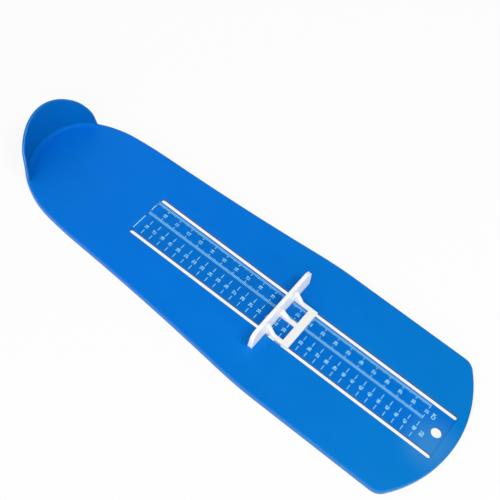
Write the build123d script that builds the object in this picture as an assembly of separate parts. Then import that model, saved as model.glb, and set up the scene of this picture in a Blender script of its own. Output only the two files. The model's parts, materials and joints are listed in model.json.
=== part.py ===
from build123d import *
from math import cos, radians, sin, sqrt, tan
import os

# Foot measuring board: a moulded sole plate with a raised heel cup and two long slots, and a toe
# stop that slides along them on four snap legs.
# The pieces are drawn with x as the reading on the scale (0 where the heel touches the cup,
# growing towards the toe), y = 0 on the centre line and z = 0 on the face that the foot stands on.
# place() then moves the origin to the middle of the footprint, on the surface below. Sizes in mm.

# --- sole plate ---
PLATE_THICKNESS = 2.0  # the web that the foot stands on
RIM_DROP = 4.0  # from that face down to the surface below the board
SKIRT_WALL = 1.8  # turned-down wall round the edge
EDGE_ROUND = 1.0  # rounding along the plate's top edge
CUP_WALL = 2.1  # heel cup wall, also the distance from the zero line to the back of the plate
HEEL_RADIUS = 43.6
QUARTER_RADIUS = 11.0  # where the heel's curve turns into the side
INSTEP_RADIUS = 68.0
WAIST_RADIUS = 309.0
FLARE_RADIUS = 1960.0  # long hollow curve that widens the board towards the ball of the foot
BALL_RADIUS = 294.0
SOLE_RADII = (HEEL_RADIUS, QUARTER_RADIUS, INSTEP_RADIUS, WAIST_RADIUS, FLARE_RADIUS, BALL_RADIUS)
# Degrees that each of those arcs turns: inwards where positive. They add up to 90, so the sides
# of the board end parallel.
SOLE_ANGLES = (38.7, 12.9, 31.0, 5.2, -3.6, 5.8)
TOE_REACH = 335.8  # from the zero line to the tip of the board
TOE_RADIUS = 83.8  # arc across the tip
TOE_CORNER = 10.0

# --- heel cup ---
CUP_HEIGHT = 30.5
CUP_FOOT_SPREAD = 6.1394  # its rim runs down into the plate this far outside the heel's arc
CUP_LEAN = 5.2  # degrees that the wall leans back
RIM_FOOT_SLANT = 5.2  # degrees inwards at the foot of the rim
RIM_FLANK_RADIUS = 99.0
RIM_SHOULDER_RADIUS = 22.7
RIM_RADII = (RIM_FLANK_RADIUS, RIM_SHOULDER_RADIUS)  # tangent arcs that lead up to its crown
RIM_ANGLES = (5.0, 43.8)
RIM_ROUND = 0.8
CREASE_ROUND = 3.0

# --- slots, printed panel and hanging hole ---
SLOT_WIDTH = 3.0
SLOT_OFFSET = 16.05  # centre of each slot from the centre line
SLOT_HEEL_DISTANCE = 90.0  # from the zero line to the slots
SLOT_TOE_MARGIN = 8.5  # from the slots to the tip of the board
PANEL_RECESS = 0.3
PANEL_MARGIN = 0.3  # past the ends of the slots
HOLE_DIAMETER = 7.0
HOLE_TOE_MARGIN = 13.8  # from its centre to the tip of the board

# --- stiffening ribs below the plate ---
RIB_THICKNESS = 1.2
RIB_GAP = 3.2  # from a slot's edge to the rib beside it
CROSS_RIB_PITCH = 40.0
CROSS_RIB_START = 26.0

# --- toe stop ---
STOP_READING = 198.8  # where the stop rests in this model
STOP_HEIGHT = 16.0
STOP_WIDTH = 62.6
STOP_TOP = 2.5
STOP_BASE = 3.5
STOP_CORNER = 6.0
STOP_EDGE_ROUND = 0.5
FRAME_LENGTH = 20.5  # from the face that touches the toes
FRAME_THICKNESS = 1.55
RAIL_WIDTH = 2.75
MIDDLE_BAR = 3.0
FRONT_BAR = 5.6
FRAME_CORNER = 0.5
GUSSET_LENGTH = 5.5
RAIL_GUSSET_HEIGHT = 8.0
MIDDLE_GUSSET_HEIGHT = 6.0

# --- snap legs of the toe stop ---
LEG_THICKNESS = 1.8
LEG_LENGTH = 5.0
LEG_INSET = 0.5  # heel leg behind the stop's face
LEG_SPREAD = 10.0  # from one leg's start to the next
BARB = 1.0  # how far each leg hooks in under the panel
BARB_DEPTH = 1.2
BARB_LEAD = 0.7

# --- clearances ---
GLIDE_GAP = 0.25  # between the frame and the plate
HOOK_GAP = 0.3  # between the barbs and the web's underside
SIDE_GAP = 0.3  # between the legs and the slots' inner edges
END_GAP = 0.9  # left at each end of a slot, whose ends are round

# --- help for cutting and selecting, not sizes of the board ---
CUT_OVER = 1.0  # cutters stand this far above the face that they cut
TINY = 0.01

# --- what follows from those sizes ---
cup_half_width = HEEL_RADIUS * sin(radians(SOLE_ANGLES[0])) + CUP_FOOT_SPREAD
slot_inner = SLOT_OFFSET - SLOT_WIDTH / 2
slot_end = TOE_REACH - SLOT_TOE_MARGIN
slot_length = slot_end - SLOT_HEEL_DISTANCE
slot_middle = (SLOT_HEEL_DISTANCE + slot_end) / 2
leg_inner = slot_inner + SIDE_GAP
frame_half_width = leg_inner + LEG_THICKNESS
hook_top = -PLATE_THICKNESS - HOOK_GAP
leg_bottom = hook_top - BARB_DEPTH
leg_starts = (LEG_INSET, LEG_INSET + LEG_SPREAD)
frame_top = GLIDE_GAP + FRAME_THICKNESS


def sole_outline(inset=0):
    """Outline of the sole, or a line at a constant distance inside it.

    Tangent arcs run up each side from the heel, and a wide arc closes them across the toe.
    """
    with BuildSketch() as sketch:
        with BuildLine():
            for side in (1, -1):
                here, heading = (inset - CUP_WALL, 0), (0, side)
                for radius, angle in zip(SOLE_RADII, SOLE_ANGLES):
                    inner_radius = radius - inset if angle > 0 else radius + inset
                    arc = JernArc(here, heading, inner_radius, -side * angle)
                    here, heading = arc @ 1, arc % 1
                half_width = abs(here.Y)
                rise = sqrt((TOE_RADIUS - inset) ** 2 - half_width**2)
                corner_x = TOE_REACH - TOE_RADIUS + rise
                Line(here, (corner_x, here.Y))
            ThreePointArc((corner_x, half_width), (TOE_REACH - inset, 0), (corner_x, -half_width))
        make_face()
        fillet(sketch.vertices().sort_by(Axis.X)[-2:], TOE_CORNER - inset)
    return sketch.sketch


def slab(outline, top, bottom):
    """Flat solid of an outline between two heights."""
    return Pos(0, 0, bottom) * extrude(outline, amount=top - bottom)


def plate_body():
    """Web with its turned-down skirt and rounded top edge, hollow below."""
    body = slab(sole_outline(), 0, -RIM_DROP)
    body = fillet(body.faces().sort_by(Axis.Z)[-1].edges(), EDGE_ROUND)
    return body - slab(sole_outline(SKIRT_WALL), -PLATE_THICKNESS, -RIM_DROP)


def cup_profile():
    """The cup seen from the heel: a flat-crowned arch of tangent arcs, on straight feet."""
    slant = tan(radians(RIM_FOOT_SLANT))
    foot_half_width = cup_half_width + CUP_HEIGHT * slant
    with BuildSketch() as sketch:
        with BuildLine():
            ends = []
            for side in (1, -1):
                here, heading = (side * cup_half_width, 0), (-side * slant, 1)
                for radius, angle in zip(RIM_RADII, RIM_ANGLES):
                    arc = JernArc(here, heading, radius, side * angle)
                    here, heading = arc @ 1, arc % 1
                ends.append(here)
            crown_angle = radians(90 - RIM_FOOT_SLANT - sum(RIM_ANGLES))
            crown_radius = ends[0].X / sin(crown_angle)
            top = ends[0].Y + crown_radius * (1 - cos(crown_angle))
            ThreePointArc(ends[0], (0, top), ends[1])
            Polyline(
                (cup_half_width, 0),
                (foot_half_width, -CUP_HEIGHT),
                (-foot_half_width, -CUP_HEIGHT),
                (-cup_half_width, 0),
            )
        make_face()
    above_foot = Pos(0, CUP_HEIGHT - EDGE_ROUND) * Rectangle(4 * cup_half_width, 2 * CUP_HEIGHT)
    return Plane.YZ * (Pos(0, CUP_HEIGHT - top) * sketch.sketch & above_foot)


def heel_cup():
    """Leaning wall that follows the outline round the heel, with both edges of its rim rounded."""
    drop = (HEEL_RADIUS + CUP_WALL) * tan(radians(CUP_LEAN)) + EDGE_ROUND
    tube = slab(sole_outline() - sole_outline(CUP_WALL), CUP_HEIGHT + drop, -drop)
    tube = Pos(-CUP_WALL, 0, 0) * Rot(0, -CUP_LEAN, 0) * Pos(CUP_WALL, 0, 0) * tube
    cup = tube & Pos(-HEEL_RADIUS, 0, 0) * extrude(cup_profile(), amount=2 * HEEL_RADIUS, dir=(1, 0, 0))
    rim_edges = []
    for face in cup.faces():
        cut_along_x = abs(face.normal_at().X) < TINY
        if cut_along_x and face.center().Z > -EDGE_ROUND / 2:
            across = face.edges() - face.edges().filter_by(Axis.X)
            rim_edges += [e for e in across if (e @ 0.5).Z > -EDGE_ROUND / 2]
    return fillet(rim_edges, RIM_ROUND)


def crease_edges(board):
    """Edges where the inner face of the cup meets the plate."""
    inner = sole_outline(CUP_WALL).face().outer_wire()
    edges = []
    for edge in board.edges():
        points = [edge @ t for t in (0.1, 0.5, 0.9)]
        if all(abs(p.Z) < TINY and inner.distance_to(p) < CUP_WALL / 4 for p in points):
            edges.append(edge)
    return edges


def slot_cutter():
    """The two long slots, through the web."""
    slot = SlotOverall(slot_length, SLOT_WIDTH)
    both = Pos(slot_middle, SLOT_OFFSET) * slot + Pos(slot_middle, -SLOT_OFFSET) * slot
    return slab(both, CUT_OVER, -RIM_DROP)


def panel_cutter():
    """Shallow recess for the printed scale, from slot to slot."""
    length = slot_length + 2 * PANEL_MARGIN
    panel = Pos(slot_middle, 0) * Rectangle(length, 2 * SLOT_OFFSET)
    return slab(panel, CUT_OVER, -PANEL_RECESS)


def hole_cutter():
    """Hanging hole near the toe."""
    hole = Pos(TOE_REACH - HOLE_TOE_MARGIN, 0) * Circle(HOLE_DIAMETER / 2)
    return slab(hole, CUT_OVER, -RIM_DROP)


def ribs():
    """Ribs below the web: four along it beside the slots, and cross ribs that tie them to the skirt."""
    inner_rib = slot_inner - RIB_GAP - RIB_THICKNESS / 2
    outer_rib = slot_inner + SLOT_WIDTH + RIB_GAP + RIB_THICKNESS / 2
    grid = []
    middle = TOE_REACH / 2
    for y in (-outer_rib, -inner_rib, inner_rib, outer_rib):
        grid.append(Pos(middle, y) * Rectangle(2 * TOE_REACH, RIB_THICKNESS))
    outer_span = outer_rib + TOE_REACH / 2
    x = CROSS_RIB_START
    while x < TOE_REACH - CROSS_RIB_PITCH / 2:
        grid.append(Pos(x, 0) * Rectangle(RIB_THICKNESS, 2 * inner_rib))
        for side in (1, -1):
            grid.append(Pos(x, side * outer_span) * Rectangle(RIB_THICKNESS, TOE_REACH))
        x += CROSS_RIB_PITCH
    plan = Sketch() + grid
    return slab(plan & sole_outline(SKIRT_WALL / 2), -PLATE_THICKNESS / 2, -RIM_DROP)


def base_plate():
    """Sole plate, skirt, ribs and heel cup, moulded in one."""
    board = plate_body() + heel_cup()
    board = fillet(crease_edges(board), CREASE_ROUND)
    board += ribs()
    return board - slot_cutter() - panel_cutter() - hole_cutter()


def stop_wall():
    """Toe stop: upright on the heel side, drafted on the toe side, with rounded top corners."""
    side = Polyline(
        (0, GLIDE_GAP), (STOP_BASE, GLIDE_GAP), (STOP_TOP, STOP_HEIGHT), (0, STOP_HEIGHT), close=True
    )
    wall = Plane.XZ * make_face(side.edges())
    wall = extrude(wall, amount=STOP_WIDTH / 2, both=True)
    corners = wall.edges().filter_by(Axis.X).group_by(Axis.Z)[-1]
    wall = fillet(corners, STOP_CORNER)
    crest = [e for e in wall.edges() if (e @ 0.5).Z > STOP_HEIGHT / 2 and abs((e % 0.5).X) < 0.9]
    return fillet(crest, STOP_EDGE_ROUND)


def gusset(y, width, height):
    """Triangular web that props the stop's toe face on the frame."""
    start = STOP_TOP / 2  # inside the stop
    toe_end = STOP_BASE + GUSSET_LENGTH
    profile = Polyline(
        (start, GLIDE_GAP), (toe_end, frame_top), (STOP_BASE, height), (start, height), close=True
    )
    web = Plane.XZ * make_face(profile.edges())
    return Pos(0, y + width / 2, 0) * extrude(web, amount=width)


def frame():
    """Flat frame on the toe side of the stop, with two windows that show the scale."""
    heel_end = STOP_TOP / 2  # inside the stop
    length = FRAME_LENGTH - heel_end
    plan = Pos(heel_end + length / 2, 0) * Rectangle(length, 2 * frame_half_width)
    window_length = length - FRONT_BAR
    window_width = frame_half_width - RAIL_WIDTH - MIDDLE_BAR / 2
    for side in (1, -1):
        y = side * (MIDDLE_BAR + window_width) / 2
        plan -= Pos(heel_end + window_length / 2, y) * Rectangle(window_length, window_width)
    plan = fillet([v for v in plan.vertices() if v.X > STOP_BASE], FRAME_CORNER)
    return slab(plan, frame_top, GLIDE_GAP)


def snap_leg(start, side):
    """Leg through a slot, with a barb that hooks in under the edge of the panel."""
    outer = leg_inner + LEG_THICKNESS
    tip = leg_inner - BARB
    profile = Polyline(
        (leg_inner, frame_top / 2),
        (leg_inner, hook_top),
        (tip, hook_top),
        (tip, hook_top - BARB_DEPTH + BARB_LEAD),
        (tip + BARB_LEAD, leg_bottom),
        (outer, leg_bottom),
        (outer, frame_top / 2),
        close=True,
    )
    leg = extrude(Plane.YZ * make_face(profile.edges()), amount=LEG_LENGTH)
    if side < 0:
        leg = mirror(leg, about=Plane.XZ)
    return Pos(start, 0, 0) * leg


def slider():
    """Toe stop with its frame, gussets and snap legs, moulded in one."""
    part = frame() + stop_wall()
    rail = frame_half_width - RAIL_WIDTH / 2
    part += gusset(rail, RAIL_WIDTH, RAIL_GUSSET_HEIGHT)
    part += gusset(-rail, RAIL_WIDTH, RAIL_GUSSET_HEIGHT)
    part += gusset(0, MIDDLE_BAR, MIDDLE_GUSSET_HEIGHT)
    for start in leg_starts:
        for side in (1, -1):
            part += snap_leg(start, side)
    return Pos(STOP_READING, 0, 0) * part


def place(parts):
    """Move every piece so that the origin is the middle of the footprint, on the surface below."""
    box = parts["base_plate"].bounding_box()
    shift = Pos(-(box.min.X + box.max.X) / 2, 0, RIM_DROP)
    return {name: shift * part for name, part in parts.items()}, shift


def main():
    parts, shift = place({"base_plate": base_plate(), "slider": slider()})
    os.makedirs("parts", exist_ok=True)
    for name, part in parts.items():
        export_step(part, f"parts/{name}.step")
    lowest = SLOT_HEEL_DISTANCE + END_GAP - leg_starts[0]
    highest = slot_end - END_GAP - leg_starts[1] - LEG_LENGTH
    print("zero of the scale at x =", round(shift.position.X, 3))
    print("stop reading:", round(lowest, 2), "to", round(highest, 2), "resting at", STOP_READING)
    print("travel from rest:", round(lowest - STOP_READING, 2), "to", round(highest - STOP_READING, 2))


main()
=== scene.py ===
"""Looks of a foot measuring device, built round its solid model: finishes of the blue board and of the
white toe stop, the scale that is printed on the board, and a plain studio.

The board lies on z = 0 with its heel cup towards -X and its toe towards +X. The printed scale is laid
out in millimetres of reading: 0 where the heel touches the cup, growing towards the toe."""

import json
import math

import bpy
import numpy as np
from bpy.props import FloatProperty, FloatVectorProperty, IntProperty, PointerProperty
from bpy.types import Operator, Panel, PropertyGroup
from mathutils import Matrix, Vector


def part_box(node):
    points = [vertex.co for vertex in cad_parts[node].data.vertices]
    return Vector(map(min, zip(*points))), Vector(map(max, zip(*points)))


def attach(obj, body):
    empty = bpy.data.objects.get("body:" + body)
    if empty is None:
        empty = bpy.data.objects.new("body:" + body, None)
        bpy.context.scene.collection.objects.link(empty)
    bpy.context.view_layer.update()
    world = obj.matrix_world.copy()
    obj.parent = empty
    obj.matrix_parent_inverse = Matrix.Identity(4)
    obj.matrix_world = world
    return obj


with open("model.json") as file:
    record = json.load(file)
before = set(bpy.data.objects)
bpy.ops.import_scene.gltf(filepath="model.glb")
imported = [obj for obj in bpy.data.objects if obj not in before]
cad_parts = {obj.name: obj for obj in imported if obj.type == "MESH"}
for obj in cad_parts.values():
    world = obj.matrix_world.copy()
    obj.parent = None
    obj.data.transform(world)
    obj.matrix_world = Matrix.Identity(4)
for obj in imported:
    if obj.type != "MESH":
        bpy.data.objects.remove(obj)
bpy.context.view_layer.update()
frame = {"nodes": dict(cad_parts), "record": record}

bl_info = {
    "name": "Foot Measuring Device",
    "version": (1, 0, 0),
    "blender": (4, 5, 0),
    "location": "3D View > Sidebar > Foot Gauge",
    "description": "Finishes, printed scale and studio of a foot measuring device",
    "category": "Object",
}

MM = 0.001
BOARD = "board"  # the body that the print rides on
HANGING_HOLE = next(m["pos_m"] for m in frame["record"]["mounts"] if m["name"] == "hanging_hole")
HOLE_READING = 0.322  # the hanging hole's place on the scale, in metres

# Bands of print across the board, as y in millimetres from the centre line, and sizes in millimetres.
UPPER_RULER = 13.6  # where the upper ruler's ticks start
MIDDLE_RULER = 1.7  # where the middle ruler's ticks start
CM_NUMBERS = 7.64
SIZE_NUMBERS = -6.85
SIZE_TICKS = ((-4.35, -0.95), (-13.28, -9.85))
FRAME_LINES = ((1.7, 13.85), (-13.28, -0.95))
UNIT_SIGNS = (("CM", 7.62), ("EU", -6.98))
SIGN_READING = 315.2
SIZE_NUMBER_SHIFT = -0.4  # the shoe sizes are printed this far to the heel side of their ticks
# How long each ruler's millimetre ticks are: every one, each fifth and each tenth.
UPPER_TICKS = (1.75, 2.25, 3.3)
MIDDLE_TICKS = (1.95, 2.4, 3.3)
SIZE_STEP = 20 / 3  # millimetres of shoe length from one size to the next
SHOE_ROOM = 10  # how much longer a shoe is than its foot
LETTER_WEIGHT = 0.022  # how far the plain typeface's outline is moved out, where its size is 1
LETTER_SPACING = 1.1

# Parts of the board that its finish tells apart, in metres.
PANEL_WIDTH = 0.0292
PANEL_SKIN = 0.0001  # thickness of its mask, so that only the panel's face lies in it
PANEL_TOE_MARGIN = 0.008
SLOTS_WIDTH = 0.037
SLOTS_DEPTH = 0.01
SLOTS_MIDDLE = 0.0065
SLOTS_SHIFT = 0.003
SLOTS_TOE_MARGIN = 0.004
# A painted sheen: a pale patch near the hanging hole that stands in for a reflection on the board's toe end.
PAINTED_SHEEN_PLACE = (0.323, -0.009, 0.004)  # its reading on the scale, its y and its height
PAINTED_SHEEN_EDGE = (0.024, 0.002)  # distances at which it starts and at which it is full
PAINTED_SHEEN_STRENGTH = 0.9

# Smooth steps of that finish: over heights in metres, and over the x or z part of the surface's normal.
# Each is told by what it leaves in.
CREASE_BOTTOM = (0.00401, 0.00418)
CREASE_TOP = (0.009, 0.0065)
CUP_BOTTOM = (0.0041, 0.0058)
RIM_BOTTOM = (0.005, 0.006)
RIM_BACK = (-0.05, 0.2)  # by x: all but what looks back
RIM_FRONT = (0.55, 0.35)  # by x: all but the cup's inner face
SIDE_TOP = (0.0045, 0.004)
SIDE_STEEP = (0.97, 0.5)  # by z: all but what looks up
SIDE_UNDER = (-0.6, -0.3)  # by z: all but the underside

# The drift is painted light: a colour shift towards the toe end that stands in for light falling off and a
# faint sheen there.
DRIFT_START = 0.3  # share of the way from the middle to the heel end where the drift in colour starts
CLOUD_TONES = (0.975, 1.025)  # brightness between which the clouds of pigment run
GRAIN_DEPTH = 0.00003
STOP_GRAIN = 0.8  # size of the toe stop's grain and clouds as shares of the board's
STOP_FLOW = 0.3
STOP_GRAIN_DEPTH = 0.00002

# What each part adds to the board's brightness, roughness and sheen. The brightness terms are painted
# light: painted shade on the slot walls, the sides and the crease, and a painted highlight on the cup rim.
PAINTED_SLOT_SHADE = -0.3
PAINTED_SIDE_SHADE = -0.2
PAINTED_RIM_HIGHLIGHT = 0.2
PAINTED_CREASE_SHADE = -0.07
RIM_ROUGHNESS = -0.1
PLAIN_SHEEN = 0.35
CREASE_SHEEN = -0.27
RIM_SHEEN = 0.65
SHEEN_TINT = (0.3, 0.7, 1.0, 1.0)
WHITE = (1.0, 1.0, 1.0, 1.0)

INK_COVER = 0.82  # share of the panel that the ink hides where it is thinnest
INK_GRAIN = 2600.0  # grains per metre
INK_ROUGHNESS = (0.5, 0.62)
INK_GRAIN_DEPTH = 0.00001

# Each lamp's name, place, size in metres and the setting that holds its power.
LAMPS = (("key_lamp", (0.8, 0.04, 1.65), 0.65, "key"), ("fill_lamp", (0.1, -1.0, 0.55), 0.9, "fill"),
         ("toe_lamp", (1.0, -0.3, 0.35), 0.5, "toe"))
FLAG_EDGE = (0.48, 0.78)  # dot products with its direction where the dark card starts and is full
FLAG_FOOT = (0.2, 0.4)  # heights of a direction where it starts and is full
FLOOR_REACH = 30.0  # metres from the middle of the floor to each side
SENSOR_WIDTH = 36.0  # millimetres


def length(name, text, default, soft_max=0.5):
    """A length in metres that a user can change."""
    return FloatProperty(name=name, description=text, default=default, min=0.0, soft_max=soft_max,
                         unit="LENGTH", precision=5)


def share(name, text, default):
    """A plain number from 0 to 1."""
    return FloatProperty(name=name, description=text, default=default, min=0.0, max=1.0, subtype="FACTOR")


def colour(name, text, default):
    """A colour in linear light."""
    return FloatVectorProperty(name=name, description=text, default=default, size=3, min=0.0, max=1.0,
                               subtype="COLOR")


class ScaleSettings(PropertyGroup):
    """Sizes of the print on the recessed panel."""

    zero: FloatProperty(name="Zero", description="Where the scale's zero lies along the board",
                        default=HANGING_HOLE[0] - HOLE_READING, unit="LENGTH", precision=5)
    face: FloatProperty(name="Panel height", description="Height of the recessed panel that is printed on",
                        default=0.0037, unit="LENGTH", precision=5)
    start: FloatProperty(name="Frame line", description="Reading of the line that closes the print off",
                         default=0.090, unit="LENGTH", precision=5)
    first_cm: IntProperty(name="First centimetre", description="Lowest printed centimetre", default=10)
    last_cm: IntProperty(name="Last centimetre", description="Highest printed centimetre", default=31)
    first_size: IntProperty(name="First size", description="Lowest printed shoe size", default=16)
    last_size: IntProperty(name="Last size", description="Highest printed shoe size", default=48)
    ink: length("Ink", "Thickness of the printed ink", 0.00003, 0.001)
    fine_line: length("Fine line", "Width of the millimetre ticks", 0.00036, 0.002)
    tick: length("Size tick", "Width of the shoe size ticks", 0.00037, 0.002)
    line: length("Line", "Width of the lines that close the print off", 0.0006, 0.002)
    figure: length("Figures", "Height of the printed figures", 0.0027, 0.01)
    sign: length("Unit signs", "Height of the letters that name the units", 0.0028, 0.01)
    narrow: share("Narrowing", "Width of the letters as a share of the plain typeface's", 0.7)


class FinishSettings(PropertyGroup):
    """Colours and surface of the two mouldings and of the ink."""

    blue: colour("Board", "Colour of the moulded board", (0.0, 0.173, 0.710))
    # Painted light: the toe end colour stands in for light that falls off and a faint sheen towards the toe.
    blue_far: colour("Board, toe end", "Colour that the board drifts to at its toe end", (0.0, 0.187, 0.585))
    blue_deep: colour("Board, panel", "Colour of the recessed panel", (0.0, 0.160, 0.615))
    # Painted sheen: a pale patch that stands in for a reflection near the hanging hole.
    blue_pale: colour("Blush", "Colour of the pale blush in the plastic near the hanging hole",
                      (0.035, 0.235, 0.600))
    # Painted shade: a darker blue for the heel cup's wall, in place of the shade that falls on it.
    blue_cup: colour("Cup wall", "Colour of the heel cup's wall", (0.0, 0.133, 0.470))
    white: colour("Toe stop", "Colour of the moulded toe stop", (0.98, 0.97, 0.92))
    ink: colour("Ink", "Colour of the printed scale", (0.40, 0.88, 1.0))
    grain: length("Grain", "Size of the fine grain that the mould leaves", 0.0005, 0.01)
    flow: length("Flow marks", "Size of the faint clouds in the plastic", 0.035, 0.2)
    gloss: share("Board roughness", "Roughness of the board", 0.35)
    stop_gloss: share("Toe stop roughness", "Roughness of the toe stop", 0.33)
    depth: length("Toe stop depth", "How far light spreads inside the white plastic", 0.002, 0.02)


class StageSettings(PropertyGroup):
    """The studio: floor, lamps and camera."""

    floor: colour("Floor", "Colour of the floor under the lamps", (0.88, 0.88, 0.88))
    backdrop: share("Backdrop", "How far the floor is lifted to plain white in the camera's view", 0.88)
    flag: FloatVectorProperty(name="Flag", size=3, default=(0.3, 0.44, 0.85), subtype="DIRECTION",
                              description="Direction of the dark card that keeps glare off the board")
    flag_strength: share("Flag strength", "Light from the dark card, where the sky's is 1", 0.06)
    key: FloatProperty(name="Key lamp", description="Power of the lamp above the toe end",
                       default=11.9, min=0.0, unit="POWER")
    fill: FloatProperty(name="Fill lamp", description="Power of the low wide lamp on the -Y side",
                        default=3.8, min=0.0, unit="POWER")
    toe: FloatProperty(name="Toe lamp", description="Power of the low lamp beyond the toe end",
                       default=1.8, min=0.0, unit="POWER")
    camera_place: FloatVectorProperty(name="Camera", description="Where the camera stands", size=3,
                                      default=(0.137267, -0.296785, 0.563435), subtype="TRANSLATION",
                                      unit="LENGTH")
    camera_turn: FloatVectorProperty(name="Camera turn", description="How the camera is turned", size=3,
                                     default=tuple(math.radians(a) for a in (31.2824, -8.2693, 37.5693)),
                                     subtype="EULER", unit="ROTATION")
    lens: FloatProperty(name="Lens", description="Focal length on a 36 mm sensor, in millimetres",
                        default=72.4856, min=1.0)


# --- shapes ---


def mesh_piece(name, points, faces, material, body=BOARD):
    """An object in the frame's own axes from an array of points and rows of corner numbers."""
    mesh = bpy.data.meshes.new(name)
    mesh.from_pydata(points.tolist(), [], faces.tolist())
    mesh.validate()
    mesh.update()
    piece = bpy.data.objects.new(name, mesh)
    bpy.context.scene.collection.objects.link(piece)
    mesh.materials.append(material)
    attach(piece, body)
    return piece


def slabs(boxes, low, high):
    """Corner (u, v, w) of each mark, with u, v and w 0 or 1, is its low corner plus (u, v, w) times its
    length, width and thickness: one row of boxes is (x0, x1, y0, y1), and all share low and high in z."""
    boxes = np.asarray(boxes, float)
    u, v, w = (g.ravel() for g in np.meshgrid((0, 1), (0, 1), (0, 1), indexing="ij"))
    x = boxes[:, :1] + u * (boxes[:, 1:2] - boxes[:, :1])
    y = boxes[:, 2:3] + v * (boxes[:, 3:4] - boxes[:, 2:3])
    z = np.broadcast_to(low + w * (high - low), x.shape)
    points = np.stack([x, y, z], axis=-1).reshape(-1, 3)
    sides = np.array([(0, 1, 3, 2), (4, 6, 7, 5), (0, 4, 5, 1), (2, 3, 7, 6), (0, 2, 6, 4), (1, 5, 7, 3)])
    faces = (sides[None] + 8 * np.arange(len(boxes))[:, None, None]).reshape(-1, 4)
    return points, faces


def comb(readings, start, lengths, width):
    """Millimetre ruler: a tick at each reading r, from y = start by the length for r modulo 10. Ticks of
    the upper ruler point to -Y, since their lengths are negative."""
    reach = np.where(readings % 10 == 0, lengths[2], np.where(readings % 5 == 0, lengths[1], lengths[0]))
    low, high = np.minimum(start, start + reach), np.maximum(start, start + reach)
    return np.stack([readings - width / 2, readings + width / 2, low, high], axis=1)


def word_slab(word, height, narrow):
    """A word in the built-in plain typeface, centred on the origin, height tall and narrowed by a factor,
    with its thickness from z = 0 to 1: points and triangles, with points that caps and walls share merged."""
    curve = bpy.data.curves.new("word", "FONT")
    curve.body = word
    curve.extrude = 0.5
    curve.resolution_u = 3
    curve.space_character = LETTER_SPACING
    curve.offset = LETTER_WEIGHT
    holder = bpy.data.objects.new("word", curve)
    bpy.context.scene.collection.objects.link(holder)
    mesh = bpy.data.meshes.new_from_object(holder.evaluated_get(bpy.context.evaluated_depsgraph_get()))
    mesh.calc_loop_triangles()
    points = np.empty(len(mesh.vertices) * 3)
    mesh.vertices.foreach_get("co", points)
    corners = np.empty(len(mesh.loop_triangles) * 3, int)
    mesh.loop_triangles.foreach_get("vertices", corners)
    bpy.data.objects.remove(holder)
    bpy.data.curves.remove(curve)
    bpy.data.meshes.remove(mesh)
    points, merged = np.unique(points.reshape(-1, 3).round(5), axis=0, return_inverse=True)
    corners = merged.ravel()[corners].reshape(-1, 3)
    low, high = points.min(0), points.max(0)
    middle, extent = (low + high) / 2, high - low
    points[:, :2] = (points[:, :2] - middle[:2]) * height / extent[1] * (narrow, 1.0)
    points[:, 2] = (points[:, 2] - low[2]) / extent[2]
    return points, corners


def lettering(words, height, narrow, low, high):
    """Each word (text, reading, y) lies on the board and reads towards +Y: the point (a, b) of its slab
    goes to (reading - b, y + a). Joined into one array of points and one of triangles."""
    points, faces, count = [], [], 0
    for text, reading, across in words:
        flat, corners = word_slab(text, height, narrow)
        x, y = reading - flat[:, 1], across + flat[:, 0]
        points.append(np.stack([x, y, low + flat[:, 2] * (high - low)], axis=1))
        faces.append(corners + count)
        count += len(flat)
    return np.vstack(points), np.vstack(faces)


def printed(name, points, faces, material):
    """A printed piece: its points come in millimetres of reading and go to metres from the board's middle."""
    zero = bpy.context.scene.foot_scale.zero
    return mesh_piece(name, points * MM + np.array([zero, 0, 0]), faces, material)


def ink_heights():
    """Bottom and top of the ink in millimetres: a third of it soaks into the panel."""
    scale = bpy.context.scene.foot_scale
    return (scale.face - scale.ink / 3) / MM, (scale.face + scale.ink) / MM


def size_reading(size):
    """Foot length of a shoe size in millimetres: the size times its step, less the room in the shoe."""
    return size * SIZE_STEP - SHOE_ROOM


# --- materials ---


def node(tree, kind, inputs=(), **settings):
    """Adds a node, sets its properties, and fills its inputs with values or links from other sockets."""
    made = tree.nodes.new(kind)
    for key, value in settings.items():
        setattr(made, key, value)
    for key, value in dict(inputs).items():
        if isinstance(value, bpy.types.NodeSocket):
            tree.links.new(value, made.inputs[key])
        else:
            made.inputs[key].default_value = value
    return made


def maths(tree, operation, *values):
    """The result of a Math node on one to three values or sockets."""
    return node(tree, "ShaderNodeMath", dict(enumerate(values)), operation=operation).outputs[0]


def product(tree, first, *others):
    """First times every other value."""
    for other in others:
        first = maths(tree, "MULTIPLY", first, other)
    return first


def weighted(tree, start, *terms):
    """Start plus each term's value times its weight."""
    for value, weight in terms:
        start = maths(tree, "MULTIPLY_ADD", value, weight, start)
    return start


def mixed(tree, factor, first, second):
    """Colour between two colours by factor."""
    made = node(tree, "ShaderNodeMix", {0: factor, 6: first, 7: second}, data_type="RGBA")
    return made.outputs[2]


def group(name, inputs, outputs):
    """An empty shader node group with float or vector inputs and float outputs, and its two end nodes."""
    tree = bpy.data.node_groups.new(name, "ShaderNodeTree")
    for label, kind in inputs:
        tree.interface.new_socket(label, in_out="INPUT", socket_type=kind)
    for label in outputs:
        tree.interface.new_socket(label, in_out="OUTPUT", socket_type="NodeSocketFloat")
    return tree, tree.nodes.new("NodeGroupInput"), tree.nodes.new("NodeGroupOutput")


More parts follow.
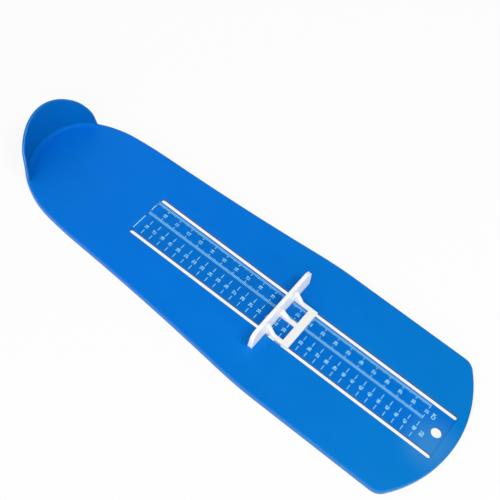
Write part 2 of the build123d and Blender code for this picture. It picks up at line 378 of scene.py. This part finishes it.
def moulded_surface():
    """Node group for a moulded plastic skin: Height is a fine spark-eroded grain with a little waviness
    below it, Cloud is the faint streaky cloud of pigment that flows with the melt, Rub the broken sheen
    of handling."""
    if "Moulded Surface" in bpy.data.node_groups:
        return bpy.data.node_groups["Moulded Surface"]
    tree, start, end = group("Moulded Surface", (("Vector", "NodeSocketVector"), ("Grain", "NodeSocketFloat"),
                                                 ("Flow", "NodeSocketFloat")), ("Height", "Cloud", "Rub"))
    place, grain, flow = start.outputs[:3]
    fine = node(tree, "ShaderNodeTexNoise", {"Vector": place, "Scale": maths(tree, "DIVIDE", 1.0, grain),
                                             "Detail": 2.0, "Roughness": 0.6})
    wave = node(tree, "ShaderNodeTexNoise", {"Vector": place, "Scale": maths(tree, "DIVIDE", 0.6, flow),
                                             "Detail": 1.0, "Roughness": 0.4})
    height = maths(tree, "MULTIPLY_ADD", wave.outputs[0], 1.5, fine.outputs[0])
    stretch = node(tree, "ShaderNodeMapping", {"Vector": place, "Scale": (0.45, 1.0, 1.0)})
    cloud = node(tree, "ShaderNodeTexNoise", {"Vector": stretch.outputs[0],
                                              "Scale": maths(tree, "DIVIDE", 1.0, flow),
                                              "Detail": 3.0, "Roughness": 0.55, "Distortion": 0.6})
    rub = node(tree, "ShaderNodeTexNoise", {"Vector": place, "Scale": maths(tree, "DIVIDE", 3.0, flow),
                                            "Detail": 4.0, "Roughness": 0.7})
    for label, value in (("Height", height), ("Cloud", cloud.outputs[0]), ("Rub", rub.outputs[0])):
        tree.links.new(value, end.inputs[label])
    return tree


def box_mask():
    """Node group: Inside is 1 where the point lies within half a Size of a Centre on each axis, else 0."""
    if "Box Mask" in bpy.data.node_groups:
        return bpy.data.node_groups["Box Mask"]
    tree, start, end = group("Box Mask", (("Vector", "NodeSocketVector"), ("Centre", "NodeSocketVector"),
                                          ("Size", "NodeSocketVector")), ("Inside",))
    point, centre, size = start.outputs[:3]
    away = node(tree, "ShaderNodeVectorMath", {0: point, 1: centre}, operation="SUBTRACT")
    away = node(tree, "ShaderNodeVectorMath", {0: away.outputs[0]}, operation="ABSOLUTE")
    half = node(tree, "ShaderNodeVectorMath", {0: size, 1: (0.5, 0.5, 0.5)}, operation="MULTIPLY")
    axes = node(tree, "ShaderNodeSeparateXYZ", {0: away.outputs[0]}).outputs
    limits = node(tree, "ShaderNodeSeparateXYZ", {0: half.outputs[0]}).outputs
    inside = [maths(tree, "LESS_THAN", a, b) for a, b in zip(axes, limits)]
    tree.links.new(product(tree, *inside), end.inputs[0])
    return tree


def inside_box(tree, point, centre, size):
    """1 where a point lies in the box of that centre and size, else 0."""
    made = node(tree, "ShaderNodeGroup", node_tree=box_mask())
    tree.links.new(point, made.inputs["Vector"])
    made.inputs["Centre"].default_value = centre
    made.inputs["Size"].default_value = size
    return made.outputs[0]


def new_material(name):
    """A material with a Principled shader: returns it, its tree, its shader and its Object coordinates."""
    material = bpy.data.materials.new(name)
    material.use_nodes = True
    tree = material.node_tree
    shader = next(n for n in tree.nodes if n.type == "BSDF_PRINCIPLED")
    return material, tree, shader, node(tree, "ShaderNodeTexCoord").outputs["Object"]


def spread(tree, value, low, high):
    """Noise from about 0.3 to 0.7 stretched to run from low to high."""
    return node(tree, "ShaderNodeMapRange", {0: value, 1: 0.3, 2: 0.7, 3: low, 4: high}).outputs[0]


def skin(tree, shader, place, grain, flow, depth):
    """Puts the moulded surface on a shader: its bump now, and its Cloud and Rub returned."""
    surface = node(tree, "ShaderNodeGroup", node_tree=moulded_surface())
    tree.links.new(place, surface.inputs["Vector"])
    surface.inputs["Grain"].default_value = grain
    surface.inputs["Flow"].default_value = flow
    bump = node(tree, "ShaderNodeBump", {"Height": surface.outputs["Height"], "Strength": 0.35,
                                         "Distance": depth})
    tree.links.new(bump.outputs[0], shader.inputs["Normal"])
    return surface.outputs["Cloud"], surface.outputs["Rub"]


def opaque(rgb, gain=1.0):
    """A colour property as the four numbers of a colour socket."""
    return (*(min(1.0, c * gain) for c in rgb), 1.0)


def ramp(tree, value, first, last, start=0.0, end=1.0):
    """Smooth step of a value: start where it is first or before, end where it is last or beyond."""
    return node(tree, "ShaderNodeMapRange", {0: value, 1: first, 2: last, 3: start, 4: end},
                interpolation_type="SMOOTHSTEP").outputs[0]


def board_colour(tree, place):
    """Colour of the board by its place: a painted drift of light and sheen along the board towards the toe
    end, a deeper colour on the recessed panel and a pale painted sheen near the hanging hole. The mask of the
    room round the slots comes with it."""
    finish = bpy.context.scene.foot_finish
    scale = bpy.context.scene.foot_scale
    low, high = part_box("base_plate")
    x = node(tree, "ShaderNodeSeparateXYZ", {0: place}).outputs[0]
    # Painted light: the colour drifts towards the toe end in place of light that falls off and a faint sheen
    # there.
    along = node(tree, "ShaderNodeMapRange", {0: x, 1: low.x * DRIFT_START, 2: high.x, 3: 0.0, 4: 1.0})
    body = mixed(tree, along.outputs[0], opaque(finish.blue), opaque(finish.blue_far))
    start = scale.zero + scale.start
    middle, span = (start + high.x) / 2, high.x - start
    panel = inside_box(tree, place, (middle, 0.0, scale.face),
                       (span - PANEL_TOE_MARGIN, PANEL_WIDTH, PANEL_SKIN))
    slots = inside_box(tree, place, (middle - SLOTS_SHIFT, 0.0, SLOTS_MIDDLE),
                       (span - SLOTS_TOE_MARGIN, SLOTS_WIDTH, SLOTS_DEPTH))
    body = mixed(tree, panel, body, opaque(finish.blue_deep))
    # Painted sheen: a pale patch near the hanging hole in place of a reflection.
    reading, across, height = PAINTED_SHEEN_PLACE
    away = node(tree, "ShaderNodeVectorMath", {0: place, 1: (scale.zero + reading, across, height)},
                operation="DISTANCE")
    painted_sheen_mask = ramp(tree, away.outputs["Value"], *PAINTED_SHEEN_EDGE, 0.0, PAINTED_SHEEN_STRENGTH)
    return mixed(tree, painted_sheen_mask, body, opaque(finish.blue_pale)), slots


def blue_plastic():
    """Semi-gloss blue of the board: clouds of pigment over its colour, a cup wall painted darker as shade,
    sides and slot walls painted darker as shade with a white tint to their gloss, a painted shade in the
    crease at the cup's foot, which is less glossy, and a cup rim that is glossier and painted lighter as a
    highlight."""
    finish = bpy.context.scene.foot_finish
    material, tree, shader, place = new_material("blue_moulded_plastic")
    cloud, rub = skin(tree, shader, place, finish.grain, finish.flow, GRAIN_DEPTH)
    z = node(tree, "ShaderNodeSeparateXYZ", {0: place}).outputs[2]
    facing = node(tree, "ShaderNodeTexCoord").outputs["Normal"]
    facing_x, _, facing_z = node(tree, "ShaderNodeSeparateXYZ", {0: facing}).outputs
    # The rim mask brings a painted highlight and more gloss.
    rim = product(tree, ramp(tree, facing_x, *RIM_FRONT), ramp(tree, facing_x, *RIM_BACK),
                  ramp(tree, z, *RIM_BOTTOM))
    # The cup mask leaves the rim out, so the rim keeps the lighter board colour as part of its painted
    # highlight.
    cup = product(tree, ramp(tree, z, *CUP_BOTTOM), maths(tree, "SUBTRACT", 1.0, rim))
    # Painted shade in the crease at the cup's foot, which is also less glossy.
    crease = product(tree, ramp(tree, z, *CREASE_BOTTOM), ramp(tree, z, *CREASE_TOP))
    # Steep faces: sides, slot walls and hole wall, painted darker as shade.
    side = product(tree, ramp(tree, facing_z, *SIDE_STEEP), ramp(tree, facing_z, *SIDE_UNDER),
                   ramp(tree, z, *SIDE_TOP))
    body, slots = board_colour(tree, place)
    # The cup wall gets its painted shade colour.
    body = mixed(tree, cup, body, opaque(finish.blue_cup))
    # Over the clouds of pigment: painted shade on slot walls, sides and crease, and a painted highlight on
    # the rim.
    tone = weighted(tree, spread(tree, cloud, *CLOUD_TONES), (product(tree, side, slots), PAINTED_SLOT_SHADE),
                    (side, PAINTED_SIDE_SHADE), (rim, PAINTED_RIM_HIGHLIGHT), (crease, PAINTED_CREASE_SHADE))
    shade = node(tree, "ShaderNodeHueSaturation", {"Value": tone, "Color": body})
    tree.links.new(shade.outputs[0], shader.inputs["Base Color"])
    rough = weighted(tree, spread(tree, rub, finish.gloss - 0.04, finish.gloss + 0.05), (rim, RIM_ROUGHNESS))
    tree.links.new(rough, shader.inputs["Roughness"])
    sheen = weighted(tree, PLAIN_SHEEN, (crease, CREASE_SHEEN), (rim, RIM_SHEEN))
    tree.links.new(sheen, shader.inputs["Specular IOR Level"])
    tint = mixed(tree, maths(tree, "MAXIMUM", rim, side), SHEEN_TINT, WHITE)
    tree.links.new(tint, shader.inputs["Specular Tint"])
    return material


def white_plastic():
    """Semi-gloss white of the toe stop, with the faint cool cast and soft depth of a light moulding."""
    finish = bpy.context.scene.foot_finish
    material, tree, shader, place = new_material("white_moulded_plastic")
    cloud, rub = skin(tree, shader, place, finish.grain * STOP_GRAIN, finish.flow * STOP_FLOW,
                      STOP_GRAIN_DEPTH)
    tone = mixed(tree, spread(tree, cloud, 0.0, 1.0), opaque(finish.white, 0.975), opaque(finish.white, 1.02))
    tree.links.new(tone, shader.inputs["Base Color"])
    rough = spread(tree, rub, finish.stop_gloss - 0.05, finish.stop_gloss + 0.06)
    tree.links.new(rough, shader.inputs["Roughness"])
    shader.inputs["Subsurface Weight"].default_value = 0.6
    shader.inputs["Subsurface Radius"].default_value = (1.0, 0.95, 0.9)
    shader.inputs["Subsurface Scale"].default_value = finish.depth
    return material


def white_ink():
    """Screen-printed ink: a thin white whose cover varies a little, so that some blue shows through."""
    if "printed_ink" in bpy.data.materials:
        return bpy.data.materials["printed_ink"]
    finish = bpy.context.scene.foot_finish
    material, tree, shader, place = new_material("printed_ink")
    cover = node(tree, "ShaderNodeTexNoise", {"Vector": place, "Scale": INK_GRAIN, "Detail": 2.0,
                                              "Roughness": 0.6})
    blue = tuple(INK_COVER * a + (1 - INK_COVER) * b for a, b in zip(finish.ink, finish.blue_deep))
    tone = mixed(tree, spread(tree, cover.outputs[0], 0.0, 1.0), opaque(blue), opaque(finish.ink))
    tree.links.new(tone, shader.inputs["Base Color"])
    tree.links.new(spread(tree, cover.outputs[0], *INK_ROUGHNESS), shader.inputs["Roughness"])
    bump = node(tree, "ShaderNodeBump", {"Height": cover.outputs[0], "Strength": 0.3,
                                         "Distance": INK_GRAIN_DEPTH})
    tree.links.new(bump.outputs[0], shader.inputs["Normal"])
    return material


def backdrop_white(tree, surface, lift):
    """Mixes plain white of strength 1 over a surface by lift, only for rays that come from the camera, a
    gloss or a clear part, so that lamps and shadows on the surface stay what they are."""
    path = node(tree, "ShaderNodeLightPath").outputs
    seen = maths(tree, "MAXIMUM", path["Is Camera Ray"],
                 maths(tree, "MAXIMUM", path["Is Glossy Ray"], path["Is Transmission Ray"]))
    return node(tree, "ShaderNodeMixShader", {0: maths(tree, "MULTIPLY", seen, lift), 1: surface,
                                              2: node(tree, "ShaderNodeEmission").outputs[0]}).outputs[0]


# --- one operator for each piece ---


class FOOTGAUGE_OT_board(Operator):
    """Give the blue board its moulded finish"""

    bl_idname = "footgauge.board"
    bl_label = "Board"

    def execute(self, context):
        board = frame["nodes"]["base_plate"]
        board.material_slots[0].material = blue_plastic()
        return {"FINISHED"}


class FOOTGAUGE_OT_toe_stop(Operator):
    """Give the sliding toe stop its moulded finish"""

    bl_idname = "footgauge.toe_stop"
    bl_label = "Toe stop"

    def execute(self, context):
        stop = frame["nodes"]["slider"]
        stop.material_slots[0].material = white_plastic()
        return {"FINISHED"}


class FOOTGAUGE_OT_rulers(Operator):
    """Print the two millimetre rulers"""

    bl_idname = "footgauge.rulers"
    bl_label = "Millimetre rulers"

    def execute(self, context):
        scale = context.scene.foot_scale
        width = scale.fine_line / MM
        readings = np.arange(round(scale.start / MM), scale.last_cm * 10 + 1)
        upper = comb(readings, UPPER_RULER, [-t for t in UPPER_TICKS], width)
        middle = comb(readings, MIDDLE_RULER, MIDDLE_TICKS, width)
        for name, marks in (("ruler_upper", upper), ("ruler_middle", middle)):
            printed(name, *slabs(marks, *ink_heights()), white_ink())
        return {"FINISHED"}


class FOOTGAUGE_OT_size_ticks(Operator):
    """Print the ticks of the shoe sizes and the lines that close the print off"""

    bl_idname = "footgauge.size_ticks"
    bl_label = "Size ticks"

    def execute(self, context):
        scale = context.scene.foot_scale
        half, start = scale.tick / MM / 2, scale.start / MM
        x = size_reading(np.arange(scale.first_size, scale.last_size + 1))
        bands = [np.stack([x - half, x + half, np.full_like(x, low), np.full_like(x, high)], axis=1)
                 for low, high in SIZE_TICKS]
        printed("size_ticks", *slabs(np.vstack(bands), *ink_heights()), white_ink())
        half = scale.line / MM / 2
        lines = [(start - half, start + half, low, high) for low, high in FRAME_LINES]
        printed("frame_lines", *slabs(lines, *ink_heights()), white_ink())
        return {"FINISHED"}


class FOOTGAUGE_OT_figures(Operator):
    """Print the centimetres, the shoe sizes and the signs of their units"""

    bl_idname = "footgauge.figures"
    bl_label = "Figures"

    def execute(self, context):
        scale = context.scene.foot_scale
        cm = [(str(n), n * 10, CM_NUMBERS) for n in range(scale.first_cm, scale.last_cm + 1)]
        sizes = [(str(n), size_reading(n) + SIZE_NUMBER_SHIFT, SIZE_NUMBERS)
                 for n in range(scale.first_size, scale.last_size + 1)]
        signs = [(text, SIGN_READING, across) for text, across in UNIT_SIGNS]
        for name, words, height in (("figures_cm", cm, scale.figure), ("figures_sizes", sizes, scale.figure),
                                    ("unit_signs", signs, scale.sign)):
            letters = lettering(words, height / MM, scale.narrow, *ink_heights())
            printed(name, *letters, white_ink())
        return {"FINISHED"}


class FOOTGAUGE_OT_stage(Operator):
    """Set up the floor, the lamps and the camera"""

    bl_idname = "footgauge.stage"
    bl_label = "Studio"

    def execute(self, context):
        stage = context.scene.foot_stage
        self.floor(stage)
        self.sky(context, stage)
        for name, place, size, power in LAMPS:
            self.lamp(name, place, size, getattr(stage, power))
        self.camera(context, stage)
        context.scene.view_settings.view_transform = "Standard"
        return {"FINISHED"}

    def floor(self, stage):
        """A flat square on z = 0: its corners are (u, v, 0), with u and v the reach either way."""
        reach = (-FLOOR_REACH, FLOOR_REACH)
        u, v = (g.ravel() for g in np.meshgrid(reach, reach))
        mesh = bpy.data.meshes.new("floor")
        mesh.from_pydata(np.stack([u, v, 0 * u], axis=1).tolist(), [], [(0, 1, 3, 2)])
        floor = bpy.data.objects.new("floor", mesh)
        bpy.context.scene.collection.objects.link(floor)
        material, tree, shader, _ = new_material("studio_floor")
        shader.inputs["Base Color"].default_value = opaque(stage.floor)
        shader.inputs["Roughness"].default_value = 0.9
        shader.inputs["Specular IOR Level"].default_value = 0.0
        out = next(n for n in tree.nodes if n.type == "OUTPUT_MATERIAL")
        tree.links.new(backdrop_white(tree, shader.outputs[0], stage.backdrop), out.inputs[0])
        mesh.materials.append(material)

    def sky(self, context, stage):
        """Plain white all round, except for a soft-edged dark card high up, opposite the camera: its shade
        grows where a direction comes near the card's, by their dot product, and with height."""
        world = bpy.data.worlds.new("studio_sky")
        world.use_nodes = True
        tree = world.node_tree
        ray = node(tree, "ShaderNodeTexCoord").outputs["Generated"]
        near = node(tree, "ShaderNodeVectorMath", {0: ray, 1: tuple(stage.flag)}, operation="DOT_PRODUCT")
        height = node(tree, "ShaderNodeSeparateXYZ", {0: ray}).outputs[2]
        shade = product(tree, ramp(tree, near.outputs["Value"], *FLAG_EDGE), ramp(tree, height, *FLAG_FOOT))
        light = next(n for n in tree.nodes if n.type == "BACKGROUND")
        light.inputs[0].default_value = WHITE
        tree.links.new(maths(tree, "MULTIPLY_ADD", shade, stage.flag_strength - 1.0, 1.0), light.inputs[1])
        context.scene.world = world

    def lamp(self, name, place, size, power):
        """A square soft box that faces the middle of the board."""
        data = bpy.data.lights.new(name, "AREA")
        data.size = size
        data.energy = power
        lamp = bpy.data.objects.new(name, data)
        bpy.context.scene.collection.objects.link(lamp)
        lamp.location = place
        lamp.rotation_euler = lamp.location.to_track_quat("Z", "Y").to_euler()

    def camera(self, context, stage):
        """A camera that looks down at the board from beyond its -Y side."""
        data = bpy.data.cameras.new("camera")
        data.sensor_width = SENSOR_WIDTH
        data.lens = stage.lens
        data.clip_start = 0.01
        data.clip_end = 100.0
        camera = bpy.data.objects.new("camera", data)
        context.scene.collection.objects.link(camera)
        camera.location = stage.camera_place
        camera.rotation_euler = stage.camera_turn
        context.scene.camera = camera


STEPS = (FOOTGAUGE_OT_stage, FOOTGAUGE_OT_board, FOOTGAUGE_OT_toe_stop, FOOTGAUGE_OT_rulers,
         FOOTGAUGE_OT_size_ticks, FOOTGAUGE_OT_figures)
SETTINGS = (("foot_scale", ScaleSettings), ("foot_finish", FinishSettings), ("foot_stage", StageSettings))


class FOOTGAUGE_PT_sidebar(Panel):
    """Sizes, colours and steps of the foot measuring device"""

    bl_idname = "FOOTGAUGE_PT_sidebar"
    bl_label = "Foot Measuring Device"
    bl_space_type = "VIEW_3D"
    bl_region_type = "UI"
    bl_category = "Foot Gauge"

    def draw(self, context):
        """A box of settings for each group, and a button for each step."""
        for attribute, kind in SETTINGS:
            box = self.layout.box()
            for name in kind.__annotations__:
                box.prop(getattr(context.scene, attribute), name)
        for step in STEPS:
            self.layout.operator(step.bl_idname)


def register():
    """Make the classes known and hang the settings on every scene."""
    for kind in (*(k for _, k in SETTINGS), *STEPS, FOOTGAUGE_PT_sidebar):
        bpy.utils.register_class(kind)
    for attribute, kind in SETTINGS:
        setattr(bpy.types.Scene, attribute, PointerProperty(type=kind))


def unregister():
    """Take away what register() added."""
    for attribute, _ in SETTINGS:
        delattr(bpy.types.Scene, attribute)
    for kind in (FOOTGAUGE_PT_sidebar, *reversed(STEPS), *(k for _, k in reversed(SETTINGS))):
        bpy.utils.unregister_class(kind)


def main():
    """Run every step."""
    register()
    for step in STEPS:
        category, name = step.bl_idname.split(".")
        getattr(getattr(bpy.ops, category), name)()


if __name__ == "__main__":
    main()
